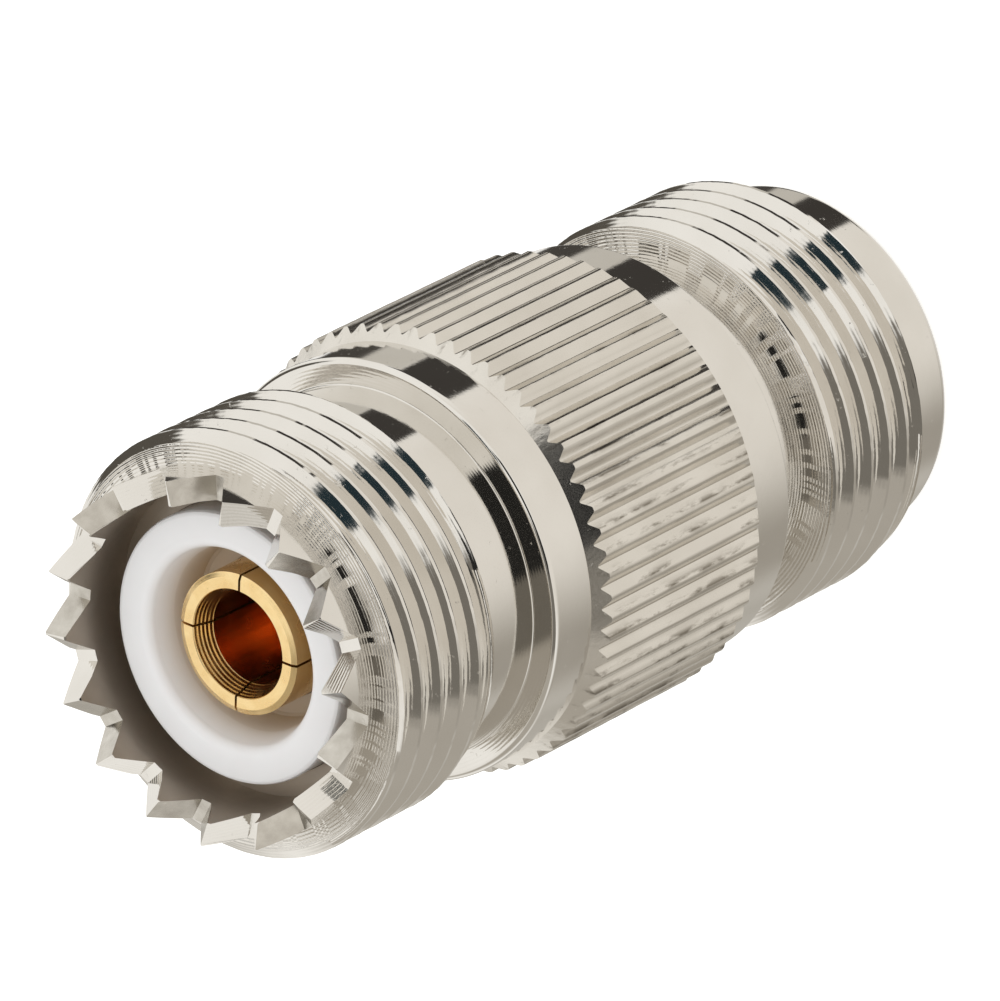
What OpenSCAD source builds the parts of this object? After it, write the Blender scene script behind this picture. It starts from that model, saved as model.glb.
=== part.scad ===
// Barrel adapter that joins two coaxial plugs. One end is a UHF socket with a toothed rim, the
// other a smooth-lipped socket with the same outer thread, and a straight-knurled grip lies between.
// The part stands on its smooth end: Z is the barrel's axis, and Z = 0 is the smooth end's face.

/* [Lengths along the barrel, from the smooth end up] */
// Smooth lip below the lower thread
low_lip_l = 2.8; // [1.5:0.1:5]
// Lower thread
low_thread_l = 5.4; // [3:0.1:9]
// Neck between the lower thread and the lower collar
low_neck_l = 2.45; // [1.5:0.05:5]
// Collar below the grip
low_collar_l = 2.34; // [1:0.02:5]
// Knurled grip, with its bevelled ends
grip_l = 9.3; // [6:0.1:16]
// Collar above the grip
top_collar_l = 2.2; // [1:0.1:5]
// Neck between the upper collar and the upper thread
top_neck_l = 3.1; // [1.5:0.1:6]
// Upper thread
top_thread_l = 5.25; // [3:0.05:9]
// Toothed lip above the upper thread
top_lip_l = 1.95; // [1.6:0.05:3]

/* [Outside diameters] */
// Both threads, over the crests: 5/8 inch
thread_d = 15.875; // [15:0.005:17]
// Grip, over the ridges
grip_d = 17.06; // [16.6:0.02:20]
// Both collars
collar_d = 15.64; // [14.5:0.02:16]
// Upper neck
top_neck_d = 12.9; // [12.4:0.1:14]
// Lower neck
low_neck_d = 13.1; // [12.4:0.1:14]
// Toothed lip
top_lip_d = 13.8; // [13.2:0.1:14.4]
// Smooth lip
low_lip_d = 13.8; // [12.8:0.1:14.4]
// Bright ring turned in the shoulder below the upper neck
shoulder_ring_d = 14.1; // [13.6:0.1:15]

/* [Knurl and edges] */
// Ridges round the grip
ridge_count = 64; // [40:1:80]
// Height of a ridge
ridge_h = 0.37; // [0.2:0.01:0.5]
// Flat on top of a ridge
ridge_flat = 0.12; // [0.06:0.01:0.2]
// Direction of the first ridge, in degrees
ridge_angle = -93.5; // [-180:0.1:180]
// Slope of the grip's bevelled ends, in degrees from the end plane
grip_bevel_deg = 30; // [15:1:50]
// Depth of the step at the shoulder's bright ring
shoulder_step = 0.07; // [0.03:0.01:0.2]
// Bevel on the edges of the threads and collars
edge_bevel = 0.12; // [0.05:0.01:0.3]
// Rounding of the smooth lip's outer edge
lip_round = 0.35; // [0.1:0.05:0.8]

/* [Toothed rim] */
// Teeth round the rim
tooth_count = 16; // [8:1:18]
// Height of a tooth
tooth_h = 1.4; // [0.8:0.05:1.5]
// Width of the gap's flat floor
gap_floor_w = 0.6; // [0.3:0.05:0.9]
// Width of the gap at the tips
gap_top_w = 2.42; // [1.6:0.02:2.44]
// Direction of the first tooth, in degrees
tooth_angle = -7; // [-180:0.5:180]
// Bore inside the toothed lip
mouth_d = 11.9; // [11:0.1:12.2]
// Depth of that bore, from the tips
mouth_depth = 3.2; // [2.4:0.1:4.5]

/* [Insulators] */
// Main bore of the shell, which both insulators fit
core_bore_d = 10.28; // [9:0.02:10.8]
// Depth of the upper insulator's face below the tips
insulator_setback = 1.95; // [1.6:0.05:3]
// Recess round the contact, at the face
recess_d = 7.8; // [6.5:0.1:9]
// The same recess at its floor
recess_floor_d = 6.6; // [6:0.1:7.8]
// Depth of the recess
recess_depth = 2.6; // [1.5:0.1:5]
// Rounding of the recess's edge
recess_round = 0.45; // [0.1:0.05:0.6]
// Thickness of the lower insulator's flange
bead_flange_l = 3; // [1.5:0.1:5]
// Bevel on the insulator's outer edge
insulator_bevel = 0.15; // [0.05:0.01:0.4]

/* [Upper contact] */
// Outside of the upper contact
top_contact_d = 5.36; // [5:0.02:5.8]
// Depth of its face below the tips
contact_setback = 2.47; // [2.2:0.01:4]
// Its bore, closed up a little at the sprung tip
top_contact_bore_d = 3.6; // [3:0.1:4.2]
// Its mouth, at the face
contact_mouth_d = 4.1; // [3.6:0.1:4.6]
// Length of the taper from the mouth to the bore
contact_taper_l = 0.8; // [0.3:0.05:1.5]
// Depth of its bore
top_contact_bore_l = 9.5; // [6:0.1:12]
// Slots in each contact
slot_count = 4; // [2:1:4]
// Width of an upper slot
top_slot_w = 0.18; // [0.1:0.01:0.4]
// Length of an upper slot
top_slot_l = 6.5; // [3:0.1:9]
// Direction of the first slot, in degrees
slot_angle = 52; // [-180:1:180]

/* [Lower socket and contact] */
// Bore of the lower socket
socket_d = 8.1; // [7.4:0.05:9]
// Depth of the lower socket
socket_depth = 9.1; // [7:0.1:10]
// Width of its bevelled mouth
socket_mouth_d = 10; // [8.8:0.1:11]
// Hole for the bead's nose, behind the socket
bead_hole_d = 7; // [5:0.1:7.3]
// Length of the bead's nose
bead_nose_l = 3.5; // [2:0.1:5]
// Outside of the lower contact
low_contact_d = 3.04; // [2.6:0.02:3.6]
// Depth of its tip below the lower face
low_contact_setback = 4.3; // [3.6:0.1:6]
// Its bore
low_contact_bore_d = 1.66; // [1.2:0.02:2]
// Depth of its bore
low_contact_bore_l = 4.7; // [3:0.1:7]
// Width of a lower slot
low_slot_w = 0.25; // [0.1:0.01:0.4]
// Length of a lower slot
low_slot_l = 3.6; // [2:0.1:4.5]
// Flange that locks the contact between the insulators
contact_flange_d = 7.2; // [6:0.1:8]
// Thickness of that flange
contact_flange_l = 2; // [1:0.1:3]
// Bevel on the lower contact's edges
low_contact_bevel = 0.2; // [0.05:0.05:0.4]

/* [Fits] */
// Play all round between an insulator and what it fits
fit = 0.02; // [0.01:0.01:0.1]

/* [Hidden] */
$fn = 96;

// A cut runs this far past the face that it opens
past = 1;

// Heights of the steps along the barrel
z_low_thread = low_lip_l;
z_low_neck = z_low_thread + low_thread_l;
z_low_collar = z_low_neck + low_neck_l;
z_grip = z_low_collar + low_collar_l;
z_top_collar = z_grip + grip_l;
z_top_neck = z_top_collar + top_collar_l;
z_top_thread = z_top_neck + top_neck_l;
z_top_lip = z_top_thread + top_thread_l;
z_tips = z_top_lip + top_lip_l;

// Heights of the pieces inside, each seated on the one below it
z_ledge = socket_depth + bead_nose_l;
z_flange = z_ledge + bead_flange_l;
z_barrel = z_flange + contact_flange_l;
z_insulator = z_tips - insulator_setback;
z_contact = z_tips - contact_setback;
z_core_top = z_tips - mouth_depth;

insulator_d = core_bore_d - 2 * fit;

// A stage turned about the axis, from z0 up to z1, with a bevel on its lower and upper edge
module stage(z0, z1, d, low_bevel = 0, top_bevel = 0) {
    rotate_extrude()
        polygon([
            [0, z0],
            [d / 2 - low_bevel, z0],
            [d / 2, z0 + low_bevel],
            [d / 2, z1 - top_bevel],
            [d / 2 - top_bevel, z1],
            [0, z1]
        ]);
}

// A round hole from z0 up to z1
module bore(z0, z1, d) {
    translate([0, 0, z0]) cylinder(h = z1 - z0, d = d);
}

// A hole that changes width evenly from d0 at z0 to d1 at z1
module taper(z0, z1, d0, d1) {
    translate([0, 0, z0]) cylinder(h = z1 - z0, d1 = d0, d2 = d1);
}

// Smooth lip with a rounded outer edge at its lower face
module smooth_lip() {
    r = low_lip_d / 2;
    corner = [for (a = [0 : 15 : 90]) [
        r - lip_round + lip_round * sin(a),
        lip_round - lip_round * cos(a)
    ]];
    rotate_extrude()
        polygon(concat([[0, 0]], corner, [[r, z_low_thread], [0, z_low_thread]]));
}

// Grip: V-shaped ridges all round, bevelled at both ends
module grip() {
    crest_r = grip_d / 2;
    root_r = crest_r - ridge_h;
    pitch = 360 / ridge_count;
    half_flat = ridge_flat / crest_r * 90 / PI;
    outline = [for (i = [0 : ridge_count - 1]) each [
        let (a = ridge_angle + i * pitch - half_flat) crest_r * [cos(a), sin(a)],
        let (a = ridge_angle + i * pitch + half_flat) crest_r * [cos(a), sin(a)],
        let (a = ridge_angle + (i + 0.5) * pitch) root_r * [cos(a), sin(a)]
    ]];
    bevel_r = grip_d - collar_d / 2;
    bevel_l = (bevel_r - collar_d / 2) * tan(grip_bevel_deg);
    intersection() {
        translate([0, 0, z_grip]) linear_extrude(height = grip_l) polygon(outline);
        rotate_extrude()
            polygon([
                [0, z_grip],
                [collar_d / 2, z_grip],
                [bevel_r, z_grip + bevel_l],
                [bevel_r, z_top_collar - bevel_l],
                [collar_d / 2, z_top_collar],
                [0, z_top_collar]
            ]);
    }
}

// Shoulder and collar above the grip, with the step that makes the bright ring
module top_collar() {
    ring_r = shoulder_ring_d / 2;
    edge_r = collar_d / 2;
    rotate_extrude()
        polygon([
            [0, z_top_collar],
            [edge_r, z_top_collar],
            [edge_r, z_top_neck - edge_bevel],
            [edge_r - edge_bevel, z_top_neck],
            [ring_r + shoulder_step, z_top_neck],
            [ring_r, z_top_neck - shoulder_step],
            [0, z_top_neck - shoulder_step]
        ]);
}

// Gaps between the teeth, each cut straight across the rim
module tooth_gaps() {
    floor_z = z_tips - tooth_h;
    widening = (gap_top_w - gap_floor_w) / 2 / tooth_h;
    over_w = gap_top_w + 2 * past * widening;
    for (i = [0 : tooth_count - 1])
        rotate([0, 0, tooth_angle + (i + 0.5) * 360 / tooth_count])
            translate([mouth_d / 4, 0, floor_z])
                rotate([90, 0, 90])
                    linear_extrude(height = top_lip_d / 2)
                        polygon([
                            [-gap_floor_w / 2, 0],
                            [gap_floor_w / 2, 0],
                            [over_w / 2, tooth_h + past],
                            [-over_w / 2, tooth_h + past]
                        ]);
}

// Outside of the shell
module shell_outside() {
    smooth_lip();
    stage(z_low_thread, z_low_neck, thread_d, edge_bevel, edge_bevel);
    stage(z_low_neck, z_low_collar, low_neck_d);
    stage(z_low_collar, z_grip, collar_d, edge_bevel, 0);
    grip();
    top_collar();
    stage(z_top_neck - shoulder_step, z_top_thread, top_neck_d);
    stage(z_top_thread, z_top_lip, thread_d, edge_bevel, edge_bevel);
    stage(z_top_lip, z_tips, top_lip_d);
}

// Holes through the shell
module shell_bores() {
    mouth_bevel = (socket_mouth_d - socket_d) / 2;
    bore(-past, socket_depth, socket_d);
    taper(-past, mouth_bevel, socket_mouth_d + 2 * past, socket_d);
    bore(socket_depth - past, z_ledge + past, bead_hole_d);
    bore(z_ledge, z_core_top + past, core_bore_d);
    bore(z_core_top, z_tips + past, mouth_d);
}

module shell() {
    color("gainsboro")
        difference() {
            shell_outside();
            shell_bores();
            tooth_gaps();
        }
}

// Upper insulator: fills the core, with a dished recess round the contact
module front_insulator() {
    recess_floor_z = z_insulator - recess_depth;
    recess_r = recess_d / 2;
    wall_lean = (recess_d - recess_floor_d) / 2 / recess_depth;
    edge = [for (a = [0 : 15 : 90]) [
        recess_r + recess_round * (1 - cos(a)),
        z_insulator - recess_round * (1 - sin(a))
    ]];
    lip_lean = recess_round * wall_lean;
    color("white")
        difference() {
            stage(z_flange, z_insulator, insulator_d, 0, insulator_bevel);
            rotate_extrude()
                polygon(concat(
                    [[0, recess_floor_z], [recess_floor_d / 2, recess_floor_z], [recess_r - lip_lean, z_insulator - recess_round]],
                    edge,
                    [[recess_r + recess_round, z_insulator + past], [0, z_insulator + past]]
                ));
            bore(z_barrel - past, recess_floor_z + past, top_contact_d + 2 * fit);
            bore(z_flange - past, z_barrel, contact_flange_d + 2 * fit);
        }
}

// Lower insulator: a bead with a nose in the shell's hole and a flange on the shell's ledge
module rear_insulator() {
    color("white")
        difference() {
            union() {
                stage(socket_depth, z_ledge, bead_hole_d - 2 * fit);
                stage(z_ledge, z_flange, insulator_d);
            }
            bore(socket_depth - past, z_flange + past, low_contact_d + 2 * fit);
        }
}

// Slots cut down a contact's wall, from z0 up to z1, on one side of the axis each
module slots(z0, z1, width, reach) {
    for (i = [0 : slot_count - 1])
        rotate([0, 0, slot_angle + i * 360 / slot_count])
            translate([0, -width / 2, z0])
                cube([reach, width, z1 - z0]);
}

// Contact: a sprung socket at each end and a flange between the two insulators
module contact() {
    tip_z = low_contact_setback;
    color("gold")
        difference() {
            union() {
                stage(tip_z, z_flange, low_contact_d, low_contact_bevel, 0);
                stage(z_flange, z_barrel, contact_flange_d);
                stage(z_barrel, z_contact, top_contact_d, 0, edge_bevel / 2);
            }
            bore(z_contact - top_contact_bore_l, z_contact + past, top_contact_bore_d);
            taper(z_contact - contact_taper_l, z_contact, top_contact_bore_d, contact_mouth_d);
            bore(tip_z - past, tip_z + low_contact_bore_l, low_contact_bore_d);
            taper(tip_z, tip_z + low_contact_bevel, low_contact_bore_d + 2 * low_contact_bevel, low_contact_bore_d);
            slots(z_contact - top_slot_l, z_contact + past, top_slot_w, top_contact_d);
            slots(tip_z - past, tip_z + low_slot_l, low_slot_w, low_contact_d);
        }
}

shell();
front_insulator();
rear_insulator();
contact();
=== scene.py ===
"""Barrel coaxial adapter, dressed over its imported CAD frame.

The shell carries two helical threads, a straight-knurled grip and a toothed rim. Two white
insulators and a gold contact sit inside it. Lengths are millimetres until a mesh is made, and
heights are measured up the barrel's axis from its smooth end, as in the frame.
"""

import logging
import math
from dataclasses import dataclass, field
from enum import Enum
from typing import Any, ClassVar, Sequence

import bmesh
import bpy
from mathutils import Matrix, Vector


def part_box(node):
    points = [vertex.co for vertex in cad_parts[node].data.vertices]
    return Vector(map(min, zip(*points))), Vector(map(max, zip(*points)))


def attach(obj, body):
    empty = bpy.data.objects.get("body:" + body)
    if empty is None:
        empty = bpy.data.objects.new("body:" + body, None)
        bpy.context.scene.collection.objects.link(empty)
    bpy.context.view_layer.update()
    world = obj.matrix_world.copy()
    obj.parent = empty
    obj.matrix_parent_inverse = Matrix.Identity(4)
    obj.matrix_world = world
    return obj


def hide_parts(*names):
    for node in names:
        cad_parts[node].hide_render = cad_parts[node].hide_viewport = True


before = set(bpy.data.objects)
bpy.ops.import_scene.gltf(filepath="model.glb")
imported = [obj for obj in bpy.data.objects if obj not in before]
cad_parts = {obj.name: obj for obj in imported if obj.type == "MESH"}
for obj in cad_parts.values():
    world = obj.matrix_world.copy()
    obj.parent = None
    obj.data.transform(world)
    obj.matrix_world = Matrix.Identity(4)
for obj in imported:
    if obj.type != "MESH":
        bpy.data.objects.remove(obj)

LOG = logging.getLogger("adapter")
MM = 0.001
BODY = "root"
COLUMNS = 320
WELD = 1e-7
SHARP_ANGLE = math.radians(32)

Ring = tuple[float, float]
Point = tuple[float, float, float]
Mesh = bpy.types.Mesh
Object = bpy.types.Object
Material = bpy.types.Material
Tree = bpy.types.NodeTree
Socket = bpy.types.NodeSocket
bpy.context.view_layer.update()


# Helpers


def linear(hex_colour: str) -> tuple[float, float, float, float]:
    """Turns an sRGB hex colour into the linear values that Blender's sockets hold.

    Args:
        hex_colour: a # and six hex digits.

    Returns:
        Linear red, green and blue, and 1 for alpha.
    """
    parts = [int(hex_colour[i : i + 2], 16) / 255 for i in (1, 3, 5)]
    red, green, blue = (c / 12.92 if c <= 0.04045 else ((c + 0.055) / 1.055) ** 2.4 for c in parts)
    return (red, green, blue, 1.0)


def add_node(tree: Tree, kind: str, wires: dict[Any, Any] | None = None, **settings: Any) -> Any:
    """Adds one node with its settings, and feeds its sockets.

    Args:
        tree: the node tree.
        kind: the node's type name.
        wires: for each input's name or number, a socket to link or a value to set.
        **settings: properties of the node.

    Returns:
        The new node.
    """
    node = tree.nodes.new(kind)
    for name, value in settings.items():
        setattr(node, name, value)
    for key, value in (wires or {}).items():
        if isinstance(value, Socket):
            tree.links.new(value, node.inputs[key])
        else:
            node.inputs[key].default_value = value
    return node


def link_object(name: str, mesh: Mesh) -> Object:
    """Puts a mesh into the scene as an object at the origin."""
    made = bpy.data.objects.new(name, mesh)
    bpy.context.scene.collection.objects.link(made)
    return made


def new_mesh(name: str, points: Sequence[Point], faces: Sequence[Sequence[int]]) -> Mesh:
    """Makes a mesh from points in metres and faces."""
    mesh = bpy.data.meshes.new(name)
    mesh.from_pydata(points, [], faces)
    mesh.validate()
    return mesh


def grid_mesh(name: str, rings: Sequence[Sequence[Point]], closed: bool, looped: bool) -> Mesh:
    """Joins rings of points into a mesh of four-sided faces.

    Args:
        name: the mesh's name.
        rings: for each ring, its points in millimetres, all rings with as many.
        closed: whether each ring's last point joins its first.
        looped: whether the last ring joins the first.

    Returns:
        The mesh, in metres.
    """
    count = len(rings[0])
    points = [tuple(MM * c for c in p) for ring in rings for p in ring]
    faces = []
    for j in range(len(rings) if looped else len(rings) - 1):
        here, there = j * count, (j + 1) % len(rings) * count
        for i in range(count if closed else count - 1):
            k = (i + 1) % count
            faces.append((here + i, here + k, there + k, there + i))
    return new_mesh(name, points, faces)


def seam_mesh(name: str, ends: Sequence[Ring], columns: Sequence[Sequence[float]]) -> Mesh:
    """Joins two rings about the axis that have different columns, with triangles.

    Args:
        name: the mesh's name.
        ends: both rings' radius and height.
        columns: each ring's columns' directions, in order from 0.

    Returns:
        The mesh, in metres.
    """
    points = [
        (r * MM * math.cos(a), r * MM * math.sin(a), z * MM)
        for (r, z), angles in zip(ends, columns)
        for a in angles
    ]
    counts = [len(angles) for angles in columns]
    at, faces = [0, 0], []
    while at[0] < counts[0] or at[1] < counts[1]:
        ahead = []
        for angles, count, done in zip(columns, counts, at):
            turn_start = 2 * math.pi * ((done + 1) // count)
            ahead.append(angles[(done + 1) % count] + turn_start if done < count else math.inf)
        side = 0 if ahead[0] <= ahead[1] else 1
        here = [at[0] % counts[0], counts[0] + at[1] % counts[1]]
        at[side] += 1
        faces.append((*here, at[side] % counts[side] + side * counts[0]))
    return new_mesh(name, points, faces)


def turn(profile: Sequence[Ring], count: int = COLUMNS) -> list[list[Point]]:
    """Turns a profile about the axis, with holding rings beside its corners.

    Args:
        profile: radius and height of each ring.
        count: how many evenly spaced columns the rings have.

    Returns:
        Rings of points.
    """
    return [[(r * math.cos(a), r * math.sin(a), z) for a in even_angles(count)] for r, z in held(profile)]


def even_angles(count: int = COLUMNS) -> list[float]:
    """Gives evenly spaced directions round the axis."""
    return [2 * math.pi * i / count for i in range(count)]


def arc(centre: Ring, radius: float, start: float, end: float, steps: int = 6) -> list[Ring]:
    """Gives points on an arc of a profile.

    Args:
        centre: the arc's centre, as radius and height.
        radius: the arc's radius.
        start: first direction, in degrees from outwards.
        end: last direction, in degrees.
        steps: how many parts the arc has.

    Returns:
        The points from start to end.
    """
    found = []
    for i in range(steps + 1):
        a = math.radians(start + (end - start) * i / steps)
        found.append((centre[0] + radius * math.cos(a), centre[1] + radius * math.sin(a)))
    return found


def held(profile: Sequence[Ring], reach: float = 0.03) -> list[Ring]:
    """Adds rings beside a profile's corners, so that smooth shading keeps its long faces straight.

    Args:
        profile: radius and height of each ring.
        reach: how far from a corner its holding rings are.

    Returns:
        The profile with the added rings.
    """
    found = [profile[0]]
    for (r0, z0), (r1, z1) in zip(profile, profile[1:]):
        length = math.hypot(r1 - r0, z1 - z0)
        if length > 4 * reach:
            for share in (reach / length, 1 - reach / length):
                found.append((r0 + (r1 - r0) * share, z0 + (z1 - z0) * share))
        found.append((r1, z1))
    return found


def weld(mesh: Mesh, name: str) -> None:
    """Joins points that coincide, turns the faces outwards and reports any open edge.

    Args:
        mesh: the mesh, changed in place.
        name: what the report calls it.
    """
    work = bmesh.new()
    work.from_mesh(mesh)
    bmesh.ops.remove_doubles(work, verts=work.verts, dist=WELD)
    bmesh.ops.dissolve_degenerate(work, edges=work.edges, dist=WELD)
    bmesh.ops.recalc_face_normals(work, faces=work.faces)
    loose = sum(1 for e in work.edges if not e.is_manifold)
    LOG.info("%s: %d faces, %d open edges", name, len(work.faces), loose)
    work.to_mesh(mesh)
    work.free()


def shade(mesh: Mesh, seams: Sequence[float] = ()) -> None:
    """Shades a mesh smooth, except over sharp edges and over the edges that lie in given planes.

    Args:
        mesh: the mesh, changed in place.
        seams: heights at which the finish changes, so that every edge there stays crisp.
    """
    mesh.shade_smooth()
    mesh.set_sharp_from_angle(angle=SHARP_ANGLE)
    sharp = mesh.attributes.get("sharp_edge") or mesh.attributes.new("sharp_edge", "BOOLEAN", "EDGE")
    for edge in mesh.edges:
        heights = [mesh.vertices[i].co.z for i in edge.vertices]
        if any(max(abs(z - seam * MM) for z in heights) < 10 * WELD for seam in seams):
            sharp.data[edge.index].value = True


def evaluated_mesh(piece: Object, name: str) -> Mesh:
    """Makes a plain mesh of what an object's modifiers give."""
    graph = bpy.context.evaluated_depsgraph_get()
    mesh = bpy.data.meshes.new_from_object(piece.evaluated_get(graph))
    mesh.name = name
    return mesh


def join(name: str, meshes: Sequence[Mesh]) -> Mesh:
    """Joins meshes into one, and keeps each face's material.

    Args:
        name: the new mesh's name.
        meshes: what is joined.

    Returns:
        The joined mesh.
    """
    slots: list[Material] = []
    work = bmesh.new()
    for mesh in meshes:
        before = len(work.faces)
        work.from_mesh(mesh)
        work.faces.ensure_lookup_table()
        places = []
        for material in mesh.materials:
            if material not in slots:
                slots.append(material)
            places.append(slots.index(material))
        for face in work.faces[before:]:
            face.material_index = places[min(face.material_index, len(places) - 1)]
    joined = bpy.data.meshes.new(name)
    work.to_mesh(joined)
    work.free()
    for material in slots:
        joined.materials.append(material)
    return joined


# Finishes


class Grain(Enum):
    """Which way the tool marks of a surface run."""

    TURNED = "turned"
    ROLLED = "rolled"


@dataclass(frozen=True)
class Finish:
    """A procedural surface whose patterns are laid out in millimetres on the piece."""

    name: str
    light: str
    dark: str

    def make(self) -> Material:
        """Builds the material."""
        material = bpy.data.materials.new(self.name)
        material.use_nodes = True
        tree = material.node_tree
        place = add_node(tree, "ShaderNodeTexCoord").outputs["Object"]
        in_mm = add_node(tree, "ShaderNodeVectorMath", {0: place, "Scale": 1 / MM}, operation="SCALE").outputs[0]
        self.dress(tree, tree.nodes["Principled BSDF"], in_mm)
        return material

    def dress(self, tree: Tree, shader: bpy.types.Node, in_mm: Socket) -> None:
        """Adds the finish's own nodes.

        Args:
            tree: the material's tree.
            shader: the node that they feed.
            in_mm: the place on the piece, in millimetres.
        """
        raise NotImplementedError

    def clouded(self, tree: Tree, in_mm: Socket, scale: float, detail: float) -> tuple[Socket, Socket]:
        """Adds soft clouds of the light and the dark colour.

        Args:
            tree: the material's tree.
            in_mm: the place on the piece, in millimetres.
            scale: how many clouds there are in a millimetre.
            detail: how finely they are broken up.

        Returns:
            The clouds' strength, and the colour.
        """
        cloud = add_node(
            tree, "ShaderNodeTexNoise", {"Vector": in_mm, "Scale": scale, "Detail": detail}
        ).outputs["Fac"]
        colours = {"Factor": cloud, 6: linear(self.light), 7: linear(self.dark)}
        return cloud, add_node(tree, "ShaderNodeMix", colours, data_type="RGBA").outputs[2]

    def turned_place(self, tree: Tree, in_mm: Socket) -> tuple[Socket, Socket]:
        """Works out a point's radius and height, where tool marks run round the axis.

        Args:
            tree: the material's tree.
            in_mm: the place on the piece, in millimetres.

        Returns:
            The radius, and the radius and height as a place.
        """
        parts = add_node(tree, "ShaderNodeSeparateXYZ", {0: in_mm}).outputs
        flat = add_node(tree, "ShaderNodeCombineXYZ", {"X": parts["X"], "Y": parts["Y"]}).outputs[0]
        radius = add_node(tree, "ShaderNodeVectorMath", {0: flat}, operation="LENGTH").outputs["Value"]
        return radius, add_node(tree, "ShaderNodeCombineXYZ", {"X": radius, "Y": parts["Z"]}).outputs[0]


@dataclass(frozen=True)
class PlatedMetal(Finish):
    """Bright plating over machined brass: mirror-like, slightly clouded, with fine tool marks.

    The marks catch the light as thin lines round the barrel where it was turned, or along it where
    a knurl was rolled. Pits and specks break up the reflection here and there. Sizes and depths are
    millimetres. Where the plating names an attribute for its crests, a dark reflection is painted into
    its colour there in ragged spots; where faced names one, it tells where the facing tool left coarse
    rings.
    """

    roughness: float
    roughness_spread: float
    grain: Grain
    line_pitch: float
    line_depth: float
    cloud_size: float = 2.2
    pit_size: float = 0.35
    pit_depth: float = 0.004
    # The attribute and the colour of a dark reflection painted along the crests.
    reflection_attribute: str = ""
    reflection_colour: str = "#7D766B"
    faced: str = ""
    ring_pitch: float = 0.135
    ring_shake: float = 2.5
    ring_depths: tuple[float, float] = (0.0008, 0.014)

    def dress(self, tree: Tree, shader: bpy.types.Node, in_mm: Socket) -> None:
        """Adds the plating's colour, roughness, tool marks and pits."""
        cloud, tint = self.clouded(tree, in_mm, 1 / self.cloud_size, 4.0)
        pits = add_node(
            tree, "ShaderNodeTexNoise", {"Vector": in_mm, "Scale": 1 / self.pit_size, "Detail": 6.0, "Roughness": 0.7}
        ).outputs["Fac"]
        specks = add_node(
            tree, "ShaderNodeMapRange", {"Value": pits, "From Min": 0.66, "From Max": 0.76}
        ).outputs["Result"]
        low, high = self.roughness - self.roughness_spread, self.roughness + self.roughness_spread
        rough = add_node(
            tree,
            "ShaderNodeMapRange",
            {"Value": cloud, "From Min": 0.3, "From Max": 0.7, "To Min": low, "To Max": high},
        ).outputs["Result"]
        lines = {"Height": self.tool_marks(tree, in_mm), "Distance": self.line_depth * MM, "Strength": 1.0}
        normal = add_node(tree, "ShaderNodeBump", lines).outputs["Normal"]
        # Painted dark reflection along one edge of the crests, where an attribute for them is named.
        if self.reflection_attribute:
            tint = self.painted_reflection(tree, in_mm, tint)
        if self.faced:
            normal = self.ringed(tree, in_mm, normal)
        holes = {"Height": specks, "Distance": self.pit_depth * MM, "Strength": 1.0, "Normal": normal}
        normal = add_node(tree, "ShaderNodeBump", holes, invert=True).outputs["Normal"]
        shader.inputs["Metallic"].default_value = 1.0
        for name, value in (("Base Color", tint), ("Roughness", rough), ("Normal", normal)):
            tree.links.new(value, shader.inputs[name])

    def painted_reflection(self, tree: Tree, in_mm: Socket, tint: Socket) -> Socket:
        """Paints a dark reflection into the plating's colour, in ragged spots where the crests' attribute is high.

        Args:
            tree: the material's tree.
            in_mm: the place on the piece, in millimetres.
            tint: the plating's colour.

        Returns:
            The colour with its painted dark reflection.
        """
        share = add_node(tree, "ShaderNodeAttribute", attribute_name=self.reflection_attribute).outputs["Fac"]
        along = add_node(
            tree, "ShaderNodeVectorMath", {0: in_mm, 1: (1.0, 1.0, 0.3)}, operation="MULTIPLY"
        ).outputs[0]
        ragged = add_node(
            tree, "ShaderNodeTexNoise", {"Vector": along, "Scale": 1.7, "Detail": 5.0, "Roughness": 0.65}
        ).outputs["Fac"]
        spots = add_node(
            tree, "ShaderNodeMapRange", {"Value": ragged, "From Min": 0.5, "From Max": 0.62}
        ).outputs["Result"]
        dark = add_node(tree, "ShaderNodeMath", {0: share, 1: spots}, operation="MULTIPLY").outputs[0]
        colours = {"Factor": dark, 6: tint, 7: linear(self.reflection_colour)}
        return add_node(tree, "ShaderNodeMix", colours, data_type="RGBA").outputs[2]

    def ringed(self, tree: Tree, in_mm: Socket, normal: Socket) -> Socket:
        """Adds the facing tool's rings, coarse where the faced attribute is high and faint elsewhere.

        Args:
            tree: the material's tree.
            in_mm: the place on the piece, in millimetres.
            normal: the normal before the rings.

        Returns:
            The normal with its rings.
        """
        radius, _ = self.turned_place(tree, in_mm)
        ragged = add_node(
            tree, "ShaderNodeTexNoise", {"Vector": in_mm, "Scale": 1.6, "Detail": 4.0, "Roughness": 0.7}
        ).outputs["Fac"]
        per_mm = 2 * math.pi / self.ring_pitch
        turned = add_node(tree, "ShaderNodeMath", {0: radius, 1: per_mm}, operation="MULTIPLY").outputs[0]
        shaken = add_node(
            tree, "ShaderNodeMath", {0: ragged, 1: self.ring_shake, 2: turned}, operation="MULTIPLY_ADD"
        ).outputs[0]
        wave = add_node(tree, "ShaderNodeMath", {0: shaken}, operation="SINE").outputs[0]
        share = add_node(tree, "ShaderNodeAttribute", attribute_name=self.faced).outputs["Fac"]
        faint, coarse = (depth * MM for depth in self.ring_depths)
        depth = add_node(
            tree, "ShaderNodeMapRange", {"Value": share, "To Min": faint, "To Max": coarse}
        ).outputs["Result"]
        rings = {"Height": wave, "Distance": depth, "Strength": 1.0, "Normal": normal}
        return add_node(tree, "ShaderNodeBump", rings).outputs["Normal"]

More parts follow.
